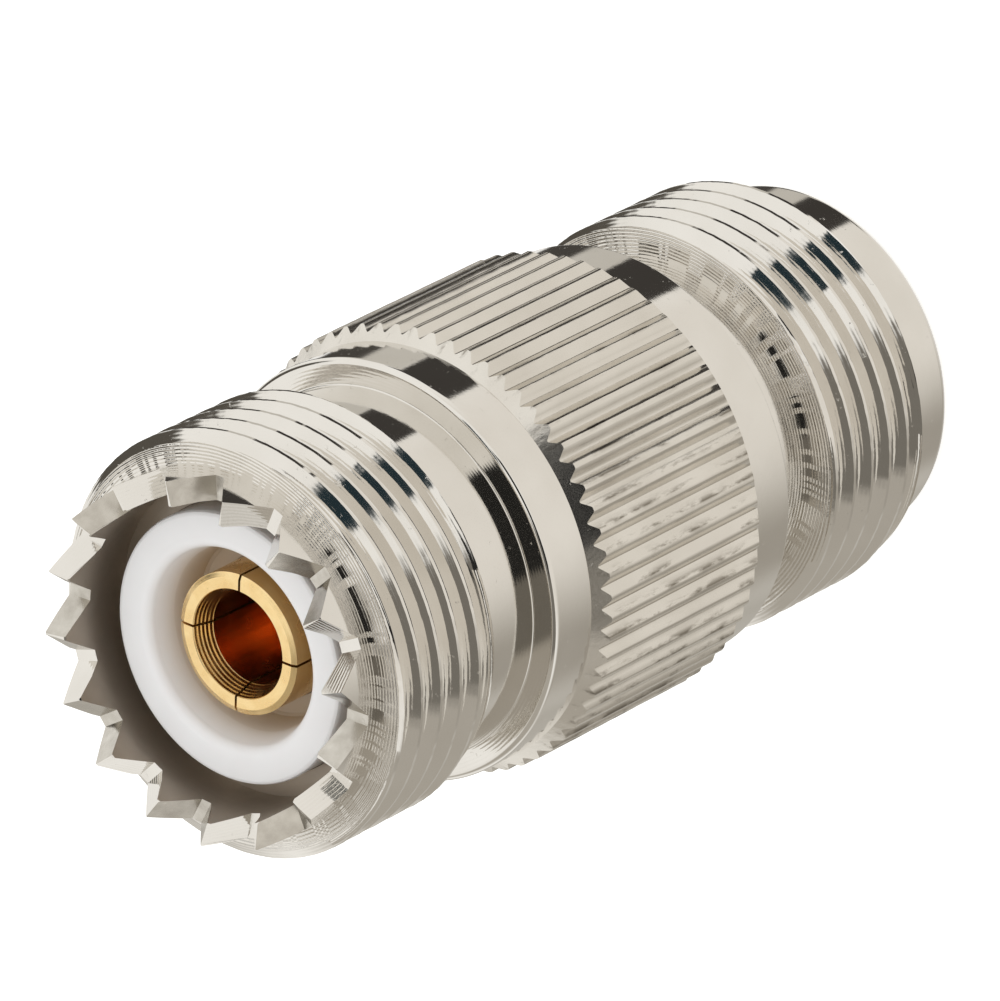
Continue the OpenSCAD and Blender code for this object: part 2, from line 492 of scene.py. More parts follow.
    def tool_marks(self, tree: Tree, in_mm: Socket) -> Socket:
        """Adds the pattern of fine tool marks.

        Args:
            tree: the material's tree.
            in_mm: the place on the piece, in millimetres.

        Returns:
            The marks' height, from 0 to 1.
        """
        if self.grain is Grain.ROLLED:
            where = add_node(
                tree, "ShaderNodeVectorMath", {0: in_mm, 1: (1.0, 1.0, 0.06)}, operation="MULTIPLY"
            ).outputs[0]
        else:
            _, where = self.turned_place(tree, in_mm)
        marks = {"Vector": where, "Scale": 1 / self.line_pitch, "Detail": 3.0, "Roughness": 0.6}
        return add_node(tree, "ShaderNodeTexNoise", marks).outputs["Fac"]


@dataclass(frozen=True)
class Fluoropolymer(Finish):
    """Machined white insulator: waxy, faintly translucent, with very faint turning marks.

    Its colour darkens towards the deep colour between the heights deep_from and deep_to, in millimetres: painted
    shade in the recess, warmed by painted reflection of the gold.
    """

    deep: str
    deep_from: float
    deep_to: float
    roughness: float = 0.38
    line_pitch: float = 0.12
    line_depth: float = 0.0008

    def dress(self, tree: Tree, shader: bpy.types.Node, in_mm: Socket) -> None:
        """Adds the insulator's colour, with painted shade down its recess, and turning marks."""
        _, tint = self.clouded(tree, in_mm, 0.4, 3.0)
        # Painted shade: the colour darkens towards the deep colour down the recess.
        height = add_node(tree, "ShaderNodeSeparateXYZ", {0: in_mm}).outputs["Z"]
        down = add_node(
            tree, "ShaderNodeMapRange", {"Value": height, "From Min": self.deep_from, "From Max": self.deep_to}
        ).outputs["Result"]
        colours = {"Factor": down, 6: tint, 7: linear(self.deep)}
        recess_shaded = add_node(tree, "ShaderNodeMix", colours, data_type="RGBA").outputs[2]
        _, where = self.turned_place(tree, in_mm)
        lines = add_node(
            tree, "ShaderNodeTexNoise", {"Vector": where, "Scale": 1 / self.line_pitch, "Detail": 2.0}
        ).outputs["Fac"]
        marks = {"Height": lines, "Distance": self.line_depth * MM, "Strength": 1.0}
        normal = add_node(tree, "ShaderNodeBump", marks).outputs["Normal"]
        for name, value in (("Base Color", recess_shaded), ("Normal", normal)):
            tree.links.new(value, shader.inputs[name])
        for name, value in (
            ("Roughness", self.roughness),
            ("IOR", 1.38),
            ("Subsurface Weight", 0.25),
            ("Subsurface Radius", (1.0, 0.9, 0.9)),
            ("Subsurface Scale", 0.8 * MM),
        ):
            shader.inputs[name].default_value = value


NICKEL_TURNED = PlatedMetal(
    "nickel plate, turned", "#E9E6E1", "#DAD6CF", 0.07, 0.03, Grain.TURNED, 0.09, 0.0012, faced="faced"
)
# Darker, browner plating for the mouth's bore: painted shade inside the mouth.
NICKEL_MOUTH_PAINTED_SHADE = PlatedMetal("nickel plate, smoked", "#C4BAAE", "#9E9488", 0.42, 0.06, Grain.TURNED, 0.12, 0.003)
# The knurl's plating: a dark reflection is painted along one edge of each crest, where the edge attribute is high.
NICKEL_KNURLED = PlatedMetal(
    "nickel plate, knurled", "#E5E1DA", "#D3CEC5", 0.18, 0.05, Grain.ROLLED, 0.16, 0.004, reflection_attribute="edge"
)
NICKEL_CUT = PlatedMetal(
    "nickel plate, filed", "#DDD9D1", "#A8A298", 0.2, 0.06, Grain.ROLLED, 0.14, 0.0016, cloud_size=0.6
)
GOLD_TURNED = PlatedMetal(
    "gold plate, turned", "#F9E2AE", "#EDC583", 0.24, 0.07, Grain.TURNED, 0.1, 0.006, cloud_size=0.7
)
# Brighter, deeper orange gold for the bore: painted light standing in for the light bounced inside it.
GOLD_BORE_PAINTED_LIGHT = PlatedMetal(
    "gold plate, bored", "#FFCC94", "#F2A866", 0.22, 0.06, Grain.ROLLED, 0.3, 0.012, cloud_size=0.8
)
# The insulator's recess darkens to a warm brown with depth: painted shade and painted reflection of the gold.
INSULATOR = Fluoropolymer("white fluoropolymer, machined", "#FBFAF9", "#F3F1F0", "#D3C4B0", 32.5, 30.4)


# Geometry Nodes


@dataclass
class PatternTree:
    """A Geometry Nodes tree that is built once and baked with different inputs."""

    name: str
    inputs: tuple[tuple[str, str], ...]
    tree: Tree = field(init=False)
    source: Any = field(init=False)

    def __post_init__(self) -> None:
        """Makes the empty tree with its named inputs."""
        self.tree = bpy.data.node_groups.new(self.name, "GeometryNodeTree")
        face = self.tree.interface
        face.new_socket("Geometry", in_out="INPUT", socket_type="NodeSocketGeometry")
        for name, kind in self.inputs:
            face.new_socket(name, in_out="INPUT", socket_type=f"NodeSocket{kind}")
        face.new_socket("Geometry", in_out="OUTPUT", socket_type="NodeSocketGeometry")
        self.source = self.tree.nodes.new("NodeGroupInput")
        self.build()

    def build(self) -> None:
        """Adds the tree's nodes."""
        raise NotImplementedError

    def given(self, name: str) -> Socket:
        """Gives the socket of a named input."""
        return self.source.outputs[name]

    def math(self, operation: str, *values: Any) -> Socket:
        """Adds a sum of sockets and numbers, and gives its result."""
        return add_node(self.tree, "ShaderNodeMath", dict(enumerate(values)), operation=operation).outputs[0]

    def end(self, geometry: Socket) -> None:
        """Ends the tree: real faces, welded seams and the material."""
        real = add_node(self.tree, "GeometryNodeRealizeInstances", {"Geometry": geometry}).outputs["Geometry"]
        welded = add_node(
            self.tree, "GeometryNodeMergeByDistance", {"Geometry": real, "Distance": WELD}
        ).outputs["Geometry"]
        dressed = add_node(
            self.tree, "GeometryNodeSetMaterial", {"Geometry": welded, "Material": self.given("Material")}
        ).outputs["Geometry"]
        add_node(self.tree, "NodeGroupOutput", {"Geometry": dressed})

    def bake(self, mesh: Mesh, name: str, **values: Any) -> Mesh:
        """Runs the tree on a mesh.

        Args:
            mesh: what goes into the tree.
            name: the result's name.
            **values: the inputs, with a name's spaces as underscores.

        Returns:
            A plain mesh.
        """
        piece = link_object(f"{name} source", mesh)
        modifier = piece.modifiers.new(self.name, "NODES")
        modifier.node_group = self.tree
        for item in self.tree.interface.items_tree:
            key = item.name.lower().replace(" ", "_")
            if item.in_out == "INPUT" and key in values:
                modifier[item.identifier] = values[key]
        baked = evaluated_mesh(piece, name)
        piece.modifiers.remove(modifier)
        bpy.data.objects.remove(piece)
        return baked

    def roughened(self, geometry: Socket, amount: Socket) -> Socket:
        """Moves points towards the axis by a seeded noise, for nicks and worn edges.

        Args:
            geometry: what is moved.
            amount: how far each point may move.

        Returns:
            The moved geometry.
        """
        place = add_node(self.tree, "GeometryNodeInputPosition").outputs[0]
        noise = add_node(
            self.tree,
            "ShaderNodeTexNoise",
            {"Vector": place, "W": self.given("Seed"), "Scale": self.given("Burr density"), "Detail": 3.0},
            noise_dimensions="4D",
        ).outputs["Fac"]
        share = add_node(
            self.tree, "ShaderNodeMapRange", {"Value": noise, "From Min": 0.35, "From Max": 0.7}
        ).outputs["Result"]
        reach = self.math("MULTIPLY", share, self.math("MULTIPLY", amount, -1.0))
        outward = add_node(self.tree, "ShaderNodeVectorMath", {0: place, 1: (1.0, 1.0, 0.0)}, operation="MULTIPLY")
        unit = add_node(self.tree, "ShaderNodeVectorMath", {0: outward.outputs[0]}, operation="NORMALIZE")
        move = add_node(
            self.tree, "ShaderNodeVectorMath", {0: unit.outputs[0], "Scale": reach}, operation="SCALE"
        ).outputs[0]
        return add_node(
            self.tree, "GeometryNodeSetPosition", {"Geometry": geometry, "Offset": move}
        ).outputs["Geometry"]


@dataclass
class RingPattern(PatternTree):
    """Repeats a mesh round the axis: the ridges of a knurl, or the slots of a contact."""

    name: str = "repeat round the axis"
    inputs: tuple[tuple[str, str], ...] = (
        ("Count", "Int"),
        ("First angle", "Float"),
        ("Outer radius", "Float"),
        ("Burr height", "Float"),
        ("Burr density", "Float"),
        ("Seed", "Float"),
        ("Material", "Material"),
    )

    crest_height: ClassVar[float] = 0.3

    def build(self) -> None:
        """Adds the nodes that copy, turn and roughen the mesh."""
        points = add_node(self.tree, "GeometryNodePoints", {"Count": self.given("Count")}).outputs[0]
        index = add_node(self.tree, "GeometryNodeInputIndex").outputs[0]
        step = self.math("DIVIDE", 2 * math.pi, self.given("Count"))
        angle = self.math("MULTIPLY_ADD", index, step, self.given("First angle"))
        euler = add_node(self.tree, "ShaderNodeCombineXYZ", {"Z": angle}).outputs[0]
        rotation = add_node(self.tree, "FunctionNodeEulerToRotation", {0: euler}).outputs[0]
        copies = add_node(
            self.tree,
            "GeometryNodeInstanceOnPoints",
            {"Points": points, "Instance": self.given("Geometry"), "Rotation": rotation},
        ).outputs[0]
        real = add_node(self.tree, "GeometryNodeRealizeInstances", {"Geometry": copies}).outputs["Geometry"]
        self.end(self.roughened(real, self.crest_share()))

    def crest_share(self) -> Socket:
        """Gives the burr height at the outer radius, and less down to the foot of a crest."""
        place = add_node(self.tree, "GeometryNodeInputPosition").outputs[0]
        flat = add_node(self.tree, "ShaderNodeVectorMath", {0: place, 1: (1.0, 1.0, 0.0)}, operation="MULTIPLY")
        length = add_node(self.tree, "ShaderNodeVectorMath", {0: flat.outputs[0]}, operation="LENGTH")
        below = self.math("SUBTRACT", self.given("Outer radius"), length.outputs["Value"])
        share = add_node(
            self.tree,
            "ShaderNodeMapRange",
            {"Value": below, "From Min": 0.0, "From Max": self.crest_height * MM, "To Min": 1.0, "To Max": 0.0},
        ).outputs["Result"]
        return self.math("MULTIPLY", share, self.given("Burr height"))


@dataclass
class ThreadPattern(PatternTree):
    """Wraps a flat strip into a helical thread between two end faces.

    In the strip, X is the share of a turn and Y the height at the start of the turn. The groove's
    depth follows from the height, so the points of an end face fall together on its edge. The first
    and the last row become the rings where the end faces meet their necks.
    """

    name: str = "wrap into a thread"
    inputs: tuple[tuple[str, str], ...] = (
        ("Crest radius", "Float"),
        ("Pitch", "Float"),
        ("Crest", "Float"),
        ("Crest flat", "Float"),
        ("Root radius", "Float"),
        ("Low end", "Float"),
        ("High end", "Float"),
        ("Low foot", "Float"),
        ("High foot", "Float"),
        ("End bevel", "Float"),
        ("Rows", "Int"),
        ("Burr height", "Float"),
        ("Burr density", "Float"),
        ("Seed", "Float"),
        ("Material", "Material"),
    )

    crest_depth: ClassVar[float] = 0.02
    flank: ClassVar[float] = math.radians(60)

    def build(self) -> None:
        """Adds the nodes that wrap the strip."""
        place = add_node(self.tree, "GeometryNodeInputPosition").outputs[0]
        parts = add_node(self.tree, "ShaderNodeSeparateXYZ", {0: place})
        share, start = parts.outputs["X"], parts.outputs["Y"]
        angle = self.math("MULTIPLY", share, 2 * math.pi)
        climb = self.math("MULTIPLY_ADD", share, self.given("Pitch"), start)
        above = self.math("MAXIMUM", climb, self.given("Low end"))
        height = self.math("MINIMUM", above, self.given("High end"))
        depth = self.groove(height, share)
        cut = self.math("SUBTRACT", self.given("Crest radius"), depth)
        from_low = self.math("SUBTRACT", height, self.given("Low end"))
        from_high = self.math("SUBTRACT", self.given("High end"), height)
        inset = self.math("SUBTRACT", self.given("Crest radius"), self.given("End bevel"))
        bevelled = self.math("ADD", inset, self.math("MINIMUM", from_low, from_high))
        wall = self.math("MINIMUM", cut, bevelled)
        row = add_node(self.tree, "GeometryNodeInputNamedAttribute", {"Name": "row"}, data_type="INT")
        first = self.math("COMPARE", row.outputs["Attribute"], 0.0, 0.5)
        last = self.math("COMPARE", row.outputs["Attribute"], self.given("Rows"), 0.5)
        with_low = self.mixed(first, wall, self.given("Low foot"))
        radius = self.mixed(last, with_low, self.given("High foot"))
        across = self.math("MULTIPLY", radius, self.math("COSINE", angle))
        up = self.math("MULTIPLY", radius, self.math("SINE", angle))
        wrapped = add_node(self.tree, "ShaderNodeCombineXYZ", {"X": across, "Y": up, "Z": height}).outputs[0]
        is_crest = self.math("LESS_THAN", depth, self.crest_depth * MM)
        is_foot = self.math("ADD", first, last)
        crest = self.math("MULTIPLY", is_crest, self.math("SUBTRACT", 1.0, is_foot))
        burr = self.math("MULTIPLY", crest, self.given("Burr height"))
        at_end = self.math("LESS_THAN", self.math("MINIMUM", from_low, from_high), WELD)
        strip = self.given("Geometry")
        for name, value in (("burr", burr), ("faced", at_end)):
            strip = add_node(
                self.tree,
                "GeometryNodeStoreNamedAttribute",
                {"Geometry": strip, "Name": name, "Value": value},
                data_type="FLOAT",
                domain="POINT",
            ).outputs["Geometry"]
        moved = add_node(
            self.tree, "GeometryNodeSetPosition", {"Geometry": strip, "Position": wrapped}
        ).outputs["Geometry"]
        amount = add_node(self.tree, "GeometryNodeInputNamedAttribute", {"Name": "burr"}, data_type="FLOAT")
        self.end(self.roughened(moved, amount.outputs["Attribute"]))

    def groove(self, height: Socket, share: Socket) -> Socket:
        """Works out how deep the groove is: a V of 60 degrees with a rounded root.

        Args:
            height: height of each point.
            share: its share of a turn.

        Returns:
            The depth below the crest.
        """
        crest = self.math("MULTIPLY_ADD", share, self.given("Pitch"), self.given("Crest"))
        along = self.math("FLOORED_MODULO", self.math("SUBTRACT", height, crest), self.given("Pitch"))
        half = self.math("MULTIPLY", self.math("SUBTRACT", self.given("Pitch"), self.given("Crest flat")), 0.5)
        middle = self.math("ADD", self.given("Crest flat"), half)
        aside = self.math("ABSOLUTE", self.math("SUBTRACT", along, middle))
        slope = math.tan(self.flank)
        flank = self.math("MULTIPLY", self.math("SUBTRACT", half, aside), slope)
        radius = self.given("Root radius")
        left = self.math("SUBTRACT", self.math("MULTIPLY", radius, radius), self.math("MULTIPLY", aside, aside))
        sag = self.math("SQRT", self.math("MAXIMUM", left, 0.0))
        centre = self.math("SUBTRACT", self.math("MULTIPLY", half, slope), self.math("MULTIPLY", radius, 2.0))
        in_root = self.math("LESS_THAN", aside, self.math("MULTIPLY", radius, math.sin(self.flank)))
        return self.math("MAXIMUM", self.mixed(in_root, flank, self.math("ADD", centre, sag)), 0.0)

    def mixed(self, share: Any, one: Any, other: Any) -> Socket:
        """Gives one value, or the other where share is 1."""
        return add_node(self.tree, "ShaderNodeMix", {"Factor": share, "A": one, "B": other}).outputs[0]


# Pieces

# Each tooth's ridge, as its directions at the rim's bore and at its outside. The gaps were filed one
# by one, so the teeth stand a little unevenly and their ridges don't all point at the axis.
TOOTH_RIDGES = (
    (15.2, 17.3),
    (37.6, 39.4),
    (60.5, 60.3),
    (82.6, 82.4),
    (105.2, 103.2),
    (128.3, 125.6),
    (151.1, 147.2),
    (173.2, 168.8),
    (194.2, 194.6),
    (217.2, 217.2),
    (241.0, 242.4),
    (264.8, 265.5),
    (288.6, 288.4),
    (311.0, 311.8),
    (333.0, 333.6),
    (354.6, 355.6),
)


@dataclass
class Shell:
    """The nickel-plated shell, with its threads, knurled grip and toothed rim."""

    rings: RingPattern
    threads: ThreadPattern
    turned: Material
    knurled: Material
    cut: Material
    mouth_painted_shade: Material
    low_thread: float = 2.8
    low_neck: float = 8.2
    low_collar: float = 10.95
    grip: float = 12.84
    top_collar: float = 22.36
    top_neck: float = 24.38
    top_thread: float = 27.59
    top_lip: float = 32.84
    tips: float = 34.79
    lip_r: float = 6.9
    lip_round: float = 0.35
    low_neck_r: float = 6.75
    top_neck_r: float = 7.0
    collar_r: float = 8.0
    neck_fillet: float = 0.07
    edge_bevel: float = 0.05
    collar_round: float = 0.22
    seam_width: float = 0.25
    thread_r: float = 7.9375
    thread_pitch: float = 25.4 / 24
    thread_flat: float = 0.13
    thread_root_r: float = 0.17
    thread_bevel: float = 0.1
    top_crest: float = 32.0546
    low_crest: float = 7.3346
    crest_r: float = 8.525
    root_r: float = 8.26
    ridge_count: int = 64
    ridge_flat: float = 0.2
    ridge_angle: float = math.radians(-93.8)
    ridge_rows: int = 56
    # How strongly a dark reflection is painted on each of one ridge's columns, along one edge of its crest.
    ridge_painted_reflection: dict[int, float] = field(default_factory=lambda: {5: 0.35, 6: 1.0, 7: 0.15})
    grip_bevel: float = math.radians(45)
    tooth_height: float = 1.4
    tooth_land: float = 0.05
    tooth_ridges: tuple[tuple[float, float], ...] = TOOTH_RIDGES
    gap_floor: float = 0.42
    mouth_r: float = 5.95
    mouth_depth: float = 3.2
    core_r: float = 5.14
    ledge: float = 12.6
    bead_r: float = 3.5
    socket_r: float = 4.05
    socket_depth: float = 9.1
    socket_mouth_r: float = 5.0

    def make(self) -> Object:
        """Builds the shell.

        Returns:
            The shell's object.
        """
        low_ends = ((self.lip_r, self.low_thread), (self.low_neck_r, self.low_neck))
        top_ends = ((self.top_neck_r, self.top_thread), (self.lip_r, self.top_lip))
        parts = [
            *self.turned_parts(),
            self.thread("low thread", low_ends, self.low_crest, 1.0),
            self.thread("top thread", top_ends, self.top_crest, 2.0),
            self.ridges(),
        ]
        mesh = join("shell", parts)
        weld(mesh, "shell before its teeth")
        piece = link_object("shell_dressed", mesh)
        self.cut_teeth(piece)
        shade(piece.data, (self.grip, self.top_collar))
        return piece

    def ridge_columns(self) -> list[tuple[float, float]]:
        """Gives offset and radius of one ridge's columns, from valley to valley, with rounded corners."""
        half = math.pi / self.ridge_count
        flat = self.ridge_flat / 2 / self.crest_r
        height = self.crest_r - self.root_r
        rise = [(half, 0.0), (half * 0.87, 0.07), (half * 0.6, 0.45), (flat * 1.1, 0.93), (flat * 0.6, 1.0)]
        side = [(offset, self.root_r + share * height) for offset, share in rise]
        return [(-offset, r) for offset, r in side] + side[::-1]

    def grip_angles(self) -> list[float]:
        """Gives the columns' directions where the collars meet the grip, in order from 0."""
        step = 2 * math.pi / self.ridge_count
        found = []
        for i in range(self.ridge_count):
            for offset, _ in self.ridge_columns()[:-1]:
                found.append((self.ridge_angle + i * step + offset) % (2 * math.pi))
        return sorted(found)

    def turned_parts(self) -> list[Mesh]:
        """Builds the plain turned lengths between the threads and the grip."""
        b, f, q = self.edge_bevel, self.neck_fillet, self.collar_round
        low_end = arc((self.lip_r - self.lip_round, self.lip_round), self.lip_round, -90, 0)
        mouth = [
            (self.mouth_r, self.tips - 0.05),
            (self.mouth_r, self.tips - self.mouth_depth),
            (self.core_r, self.tips - self.mouth_depth),
        ]
        inside = [
            mouth[-1],
            (self.core_r, self.ledge),
            (self.bead_r, self.ledge),
            (self.bead_r, self.socket_depth),
            (self.socket_r, self.socket_depth),
            (self.socket_r, self.socket_mouth_r - self.socket_r),
            (self.socket_mouth_r, 0.0),
        ]
        lip = [
            (self.lip_r, self.top_lip),
            (self.lip_r, self.tips - 0.04),
            (self.lip_r - 0.04, self.tips),
            (self.mouth_r + 0.05, self.tips),
            mouth[0],
        ]
        ends = [*inside, *low_end, (self.lip_r, self.low_thread)]
        low = [
            (self.low_neck_r, self.low_neck),
            *arc((self.low_neck_r + f, self.low_collar - f), f, 180, 90, 3),
            (self.collar_r - b, self.low_collar),
            (self.collar_r - b / 3, self.low_collar + b / 3),
            (self.collar_r, self.low_collar + b),
        ]
        top = [
            *arc((self.collar_r - q, self.top_neck - q), q, 0, 90, 8),
            *arc((self.top_neck_r + f, self.top_neck + f), f, -90, -180, 4),
            (self.top_neck_r, self.top_thread),
        ]
        low.append((self.collar_r, self.grip - self.seam_width))
        top.insert(0, (self.collar_r, self.top_collar + self.seam_width))
        profiles = {"ends": ends, "lip": lip, "mouth": mouth, "low collar": low, "top collar": top}
        made = [grid_mesh(name, turn(profile), closed=True, looped=False) for name, profile in profiles.items()]
        for name, z, beside in (("low seam", self.grip, low[-1]), ("top seam", self.top_collar, top[0])):
            made.append(seam_mesh(name, ((self.collar_r, z), beside), (self.grip_angles(), even_angles())))
        for mesh in made:
            # The mouth's bore takes the plating darkened with painted shade.
            mesh.materials.append(self.mouth_painted_shade if mesh.name.startswith("mouth") else self.turned)
        return made

    def thread_rows_along(self) -> list[float]:
        """Gives the places of one turn's rows along the pitch, from the crest's lower edge."""
        half = (self.thread_pitch - self.thread_flat) / 2
        foot = self.thread_root_r * math.sin(self.threads.flank)
        asides = (-half, -0.6 * half, -foot, -0.5 * foot, 0.0, 0.5 * foot, foot, 0.6 * half)
        return [0.0, *(self.thread_flat + half + aside for aside in asides)]

    def thread(self, name: str, ends: tuple[Ring, Ring], crest: float, seed: float) -> Mesh:
        """Builds one thread with its end faces.

        Args:
            name: the mesh's name.
            ends: radius and height of the rings where the lower and the upper end face stop.
            crest: height of a crest's middle in the direction of X.
            seed: seed of the burrs.

        Returns:
            The thread's mesh.
        """
        (low_foot, low), (high_foot, high) = ends
        edge = crest - self.thread_flat / 2
        first = math.floor((low - edge) / self.thread_pitch) - 2
        turns = math.ceil((high - low) / self.thread_pitch) + 4
        rows = [
            edge + (first + t) * self.thread_pitch + along for t in range(turns) for along in self.thread_rows_along()
        ]
        below = [y for y in rows if y + self.thread_pitch <= low]
        above = [y for y in rows if y >= high]
        rows = rows[len(below) - 1 : len(rows) - len(above) + 1]
        rows = [rows[0], *rows, rows[-1]]
        points = [[(i / COLUMNS / MM, y, 0.0) for i in range(COLUMNS + 1)] for y in rows]
        strip = grid_mesh(f"{name} strip", points, closed=False, looped=False)
        numbers = strip.attributes.new("row", "INT", "POINT")
        numbers.data.foreach_set("value", [j for j in range(len(rows)) for _ in range(COLUMNS + 1)])
        return self.threads.bake(
            strip,
            name,
            crest_radius=self.thread_r * MM,
            pitch=self.thread_pitch * MM,
            crest=edge * MM,
            crest_flat=self.thread_flat * MM,
            root_radius=self.thread_root_r * MM,
            low_end=low * MM,
            high_end=high * MM,
            low_foot=low_foot * MM,
            high_foot=high_foot * MM,
            end_bevel=self.thread_bevel * MM,
            rows=len(rows) - 1,
            burr_height=0.022 * MM,
            burr_density=3.2 / MM,
            seed=seed,
            material=self.turned,
        )

    def ridges(self) -> Mesh:
        """Builds the grip: one ridge, repeated round the axis."""
        columns = []
        for offset, r in self.ridge_columns():
            rise = r - self.collar_r
            low = self.grip + rise * math.tan(self.grip_bevel)
            high = self.top_collar - rise * math.tan(self.grip_bevel)
            column = [(self.collar_r, self.grip)]
            column += [(r, low + (high - low) * j / self.ridge_rows) for j in range(self.ridge_rows + 1)]
            column.append((self.collar_r, self.top_collar))
            columns.append([(q * math.cos(offset), q * math.sin(offset), z) for q, z in column])
        rings = list(zip(*columns))
        ridge = grid_mesh("one ridge", rings, closed=False, looped=False)
        # The edge attribute says where the dark reflection is painted, the same on every ridge.
        edges = ridge.attributes.new("edge", "FLOAT", "POINT")
        painted_reflection = [self.ridge_painted_reflection.get(i, 0.0) for i in range(len(columns))]
        bare = [0.0] * len(columns)
        edges.data.foreach_set("value", bare + painted_reflection * (len(rings) - 2) + bare)
        return self.rings.bake(
            ridge,
            "grip ridges",
            count=self.ridge_count,
            first_angle=self.ridge_angle,
            outer_radius=self.crest_r * MM,
            burr_height=0.014 * MM,
            burr_density=1.3 / MM,
            seed=5.0,
            material=self.knurled,
        )

    def cut_teeth(self, piece: Object) -> None:
        """Cuts the gaps between the teeth into the rim, every other gap at a time.

        Neighbouring gaps meet in a tooth's ridge, so their cutters would run into each other above it.

        Args:
            piece: the shell's object, whose mesh is changed.
        """
        for first in (0, 1):
            work = bmesh.new()
            for i in range(first, len(self.tooth_ridges), 2):
                self.add_gap(work, self.tooth_ridges[i], self.tooth_ridges[(i + 1) % len(self.tooth_ridges)])
            cutters = bpy.data.meshes.new("gaps")
            bmesh.ops.recalc_face_normals(work, faces=work.faces)
            work.to_mesh(cutters)
            work.free()
            cutters.materials.append(self.cut)
            cut_away(piece, cutters)

    def add_gap(self, work: bmesh.types.BMesh, before: tuple[float, float], after: tuple[float, float]) -> None:
        """Adds the wedge that cuts one gap, from the ridge of one tooth to the next.

        Args:
            work: what the wedge is added to.
            before: directions of one tooth's ridge at the rim's bore and at its outside, in degrees.
            after: the same of the next tooth.
        """
        past = 0.4
        ends = []
        for r, share in ((self.mouth_r - past, -past), (self.lip_r + past, self.lip_r - self.mouth_r + past)):
            t = share / (self.lip_r - self.mouth_r)
            left = before[0] + (before[1] - before[0]) * t
            right = after[0] + (after[1] - after[0]) * t
            right += 360 if right < left else 0
            middle, half = math.radians((left + right) / 2), math.radians((right - left) / 2)
            top = r * math.sin(half) - self.tooth_land / 2
            lean = (top - self.gap_floor / 2) / self.tooth_height
            out = r * math.cos(half)
            floor, over = self.tips - self.tooth_height, self.tips + past
            for aside, z in (
                (-self.gap_floor / 2, floor),
                (self.gap_floor / 2, floor),
                (top + lean * past, over),
                (-top - lean * past, over),
            ):
                x = out * math.cos(middle) - aside * math.sin(middle)
                y = out * math.sin(middle) + aside * math.cos(middle)
                ends.append(work.verts.new((x * MM, y * MM, z * MM)))
        for i in range(4):
            k = (i + 1) % 4
            work.faces.new((ends[i], ends[k], ends[4 + k], ends[4 + i]))
        work.faces.new(ends[3::-1])
        work.faces.new(ends[4:])


def cut_away(piece: Object, cutters: Mesh) -> None:
    """Takes closed shapes away from a piece.

    Args:
        piece: the object, whose mesh is replaced.
        cutters: closed shapes in one mesh, none of which runs into another.
    """
    tool = link_object("cutters", cutters)
    modifier = piece.modifiers.new("cut", "BOOLEAN")
    modifier.operation = "DIFFERENCE"
    modifier.solver = "MANIFOLD"
    modifier.object = tool
    cut = evaluated_mesh(piece, piece.data.name)
    piece.modifiers.remove(modifier)
    bpy.data.objects.remove(tool)
    piece.data = cut


@dataclass
class Insulators:
    """The two white insulators, both turned."""

    material: Material
    outer_r: float = 5.12
    face: float = 32.84
    bevel: float = 0.15
    recess_r: float = 3.7
    recess_floor_r: float = 3.3
    recess_depth: float = 2.6
    recess_round: float = 0.4
    contact_hole_r: float = 2.7
    barrel: float = 17.6
    flange_hole_r: float = 3.62
    flange: float = 15.6
    ledge: float = 12.6
    nose_r: float = 3.48
    nose: float = 9.1
    lower_hole_r: float = 1.54

    def make(self) -> list[Object]:
        """Builds both insulators.

        Returns:
            Their objects, the upper one first.
        """
        floor = self.face - self.recess_depth
        lean = (self.recess_r - self.recess_floor_r) / self.recess_depth
        edge = arc((self.recess_r + self.recess_round, self.face - self.recess_round), self.recess_round, 90, 180, 8)
        upper = [
            (self.flange_hole_r, self.flange),
            (self.outer_r, self.flange),
            (self.outer_r, self.face - self.bevel),
            (self.outer_r - self.bevel / 3, self.face - self.bevel / 3),
            (self.outer_r - self.bevel, self.face),
            *edge,
            (self.recess_r - lean * 1.2, self.face - 1.2),
            (self.recess_floor_r + 0.1, floor + 0.1),
            (self.recess_floor_r, floor),
            (self.contact_hole_r, floor),
            (self.contact_hole_r, self.barrel),
            (self.flange_hole_r, self.barrel),
        ]
        lower = [
            (self.lower_hole_r, self.nose),
            (self.nose_r - 0.1, self.nose),
            (self.nose_r, self.nose + 0.1),
            (self.nose_r, self.ledge),
            (self.outer_r, self.ledge),
            (self.outer_r, self.flange),
            (self.lower_hole_r, self.flange),
        ]
        made = []
        for name, profile in (("front_insulator_dressed", upper), ("rear_insulator_dressed", lower)):
            mesh = grid_mesh(name, turn(profile, 160), closed=True, looped=True)
            mesh.materials.append(self.material)
            weld(mesh, name)
            shade(mesh)
            made.append(link_object(name, mesh))
        return made


